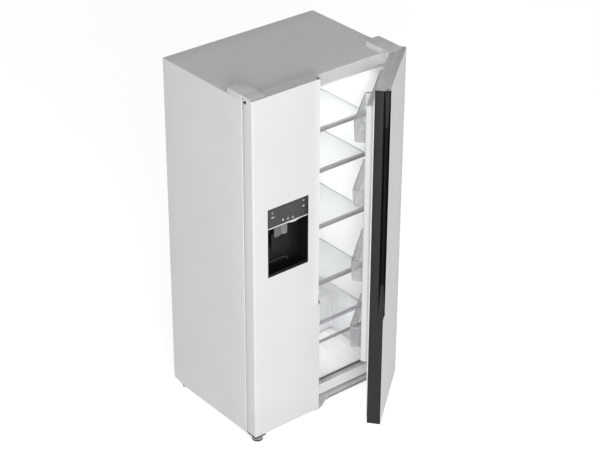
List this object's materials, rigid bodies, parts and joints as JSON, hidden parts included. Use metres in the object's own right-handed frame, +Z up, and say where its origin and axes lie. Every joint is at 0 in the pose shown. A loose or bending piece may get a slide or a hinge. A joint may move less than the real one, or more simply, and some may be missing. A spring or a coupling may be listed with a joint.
{
  "type": "side by side refrigerator",
  "caption": "Tall free-standing fridge-freezer with a narrow freezer door with a water and ice dispenser beside a wide fridge door, on levelling feet and rear rollers.",
  "frame": {"origin": "on the floor, under the middle of the closed cabinet's footprint", "axes": "+Z up, +Y to the back, so the doors face -Y and the freezer is on the -X side"},
  "size_m": [0.9083, 0.9508, 1.807],
  "materials": {
    "white_steel": "satin white paint on sheet steel",
    "bare_steel": "galvanised sheet",
    "dark_steel": "dark grey paint",
    "white_liner": "smooth thermoformed white plastic",
    "light_cap": "fine moulded texture",
    "black_trim": "dark moulded trim",
    "grey_kick": "moulded grey plastic",
    "foam": "rigid foam",
    "seal": "soft extruded seal",
    "clear_plastic": "clear moulded plastic",
    "shelf_glass": "toughened glass",
    "grey_trim": "grey shelf trim",
    "panel_dark": "glossy dark control panel",
    "cavity_black": "dark moulded cavity",
    "chute_grey": "grey moulded plastic",
    "alloy": "bare fins and tubes",
    "black_enamel": "black enamel",
    "fan_plastic": "moulded fan",
    "lamp_lens": "frosted lens",
    "zinc": "zinc plated screws",
    "ice_plastic": "pale moulded plastic",
    "valve_plastic": "moulded valve body"
  },
  "bodies": {
    "cabinet": {"cabinet_side_panels": "white_steel", "top_panel": "white_steel", "back_panel": "bare_steel", "base_pan": "white_steel", "kick_plate": "grey_kick", "mullion_strip": "white_steel", "cabinet_insulation": "foam", "freezer_liner": "white_liner", "fridge_liner": "white_liner", "compressor": "black_enamel", "condenser_coil": "black_enamel", "fan_motors": "fan_plastic", "machine_cover": "bare_steel", "evaporator": "alloy", "evaporator_cover": "white_liner", "fridge_air_duct": "white_liner", "interior_lamps": "lamp_lens", "fridge_shelf_glass": "shelf_glass", "fridge_shelf_trims": "grey_trim", "crisper_cover": "shelf_glass", "freezer_shelves": "shelf_glass", "freezer_drawers": "clear_plastic", "ice_maker": "ice_plastic", "ice_bin": "clear_plastic", "water_valve": "valve_plastic", "cord_gland": "fan_plastic", "upper_hinges": "dark_steel", "hinge_covers": "light_cap", "lower_hinges": "dark_steel", "cabinet_screws": "zinc"},
    "freezer_door": {"freezer_door_skin": "white_steel", "freezer_door_foam": "foam", "freezer_door_liner": "white_liner", "freezer_door_gasket": "seal", "freezer_door_caps": "light_cap", "freezer_door_handle": "black_trim", "freezer_door_bins": "clear_plastic", "dispenser_housing": "cavity_black", "dispenser_panel": "panel_dark", "ice_chute": "chute_grey", "drip_grille": "cavity_black"},
    "fridge_door": {"fridge_door_skin": "white_steel", "fridge_door_foam": "foam", "fridge_door_liner": "white_liner", "fridge_door_gasket": "seal", "fridge_door_caps": "light_cap", "fridge_door_handle": "black_trim", "fridge_door_bins": "clear_plastic"},
    "crisper_drawer": {"crisper_drawer": "clear_plastic"},
    "condenser_fan": {"condenser_fan": "fan_plastic"},
    "evaporator_fan": {"evaporator_fan": "fan_plastic"},
    "ice_tray": {"ice_tray": "ice_plastic"},
    "auger": {"auger": "alloy"},
    "front_foot_left": {"front_foot_left": "dark_steel"},
    "front_foot_right": {"front_foot_right": "dark_steel"},
    "rear_roller_left": {"rear_roller_left": "fan_plastic"},
    "rear_roller_right": {"rear_roller_right": "fan_plastic"},
    "dispenser_lever": {"dispenser_lever": "cavity_black"},
    "chute_flap": {"chute_flap": "seal"}
  },
  "joints": [
    {"name": "fridge_door_hinge", "type": "hinge", "parent": "cabinet", "child": "fridge_door", "pos_m": [0.428, -0.283, 0.9], "axis": [0, 0, 1], "range_deg": [-39.4, 70.6]},
    {"name": "freezer_door_hinge", "type": "hinge", "parent": "cabinet", "child": "freezer_door", "pos_m": [-0.428, -0.283, 0.9], "axis": [0, 0, -1], "range_deg": [0, 110]},
    {"name": "crisper_drawer_slide", "type": "slide", "parent": "cabinet", "child": "crisper_drawer", "axis": [0, -1, 0], "range_m": [0, 0.04]},
    {"name": "dispenser_lever_hinge", "type": "hinge", "parent": "freezer_door", "child": "dispenser_lever", "pos_m": [-0.279, -0.268, 1.094], "axis": [1, 0, 0], "range_deg": [0, 8], "stiffness_Nm_per_rad": 0.4, "springref_deg": -8.59},
    {"name": "chute_flap_hinge", "type": "hinge", "parent": "freezer_door", "child": "chute_flap", "pos_m": [-0.28, -0.287, 1.128], "axis": [1, 0, 0], "range_deg": [0, 36]},
    {"name": "condenser_fan_spin", "type": "hinge", "parent": "cabinet", "child": "condenser_fan", "pos_m": [-0.109, 0.238, 0.152], "axis": [1, 0, 0], "continuous": true},
    {"name": "evaporator_fan_spin", "type": "hinge", "parent": "cabinet", "child": "evaporator_fan", "pos_m": [-0.236, 0.214, 0.905], "axis": [0, 1, 0], "continuous": true},
    {"name": "ice_tray_twist", "type": "hinge", "parent": "cabinet", "child": "ice_tray", "pos_m": [-0.236, 0.035, 1.6], "axis": [0, 1, 0], "range_deg": [0, 160]},
    {"name": "auger_spin", "type": "hinge", "parent": "cabinet", "child": "auger", "pos_m": [-0.236, 0.02, 1.385], "axis": [0, 1, 0], "continuous": true},
    {"name": "front_foot_left_turn", "type": "hinge", "parent": "cabinet", "child": "front_foot_left", "pos_m": [-0.411, -0.303, 0.01], "axis": [0, 0, 1], "continuous": true},
    {"name": "front_foot_right_turn", "type": "hinge", "parent": "cabinet", "child": "front_foot_right", "pos_m": [0.411, -0.303, 0.01], "axis": [0, 0, 1], "continuous": true},
    {"name": "rear_roller_left_spin", "type": "hinge", "parent": "cabinet", "child": "rear_roller_left", "pos_m": [-0.401, 0.28, 0.019], "axis": [1, 0, 0], "continuous": true},
    {"name": "rear_roller_right_spin", "type": "hinge", "parent": "cabinet", "child": "rear_roller_right", "pos_m": [0.401, 0.28, 0.019], "axis": [1, 0, 0], "continuous": true}
  ],
  "couplings": [
    {"joint": "chute_flap_hinge", "follows": "dispenser_lever_hinge", "ratio": 4}
  ]
}
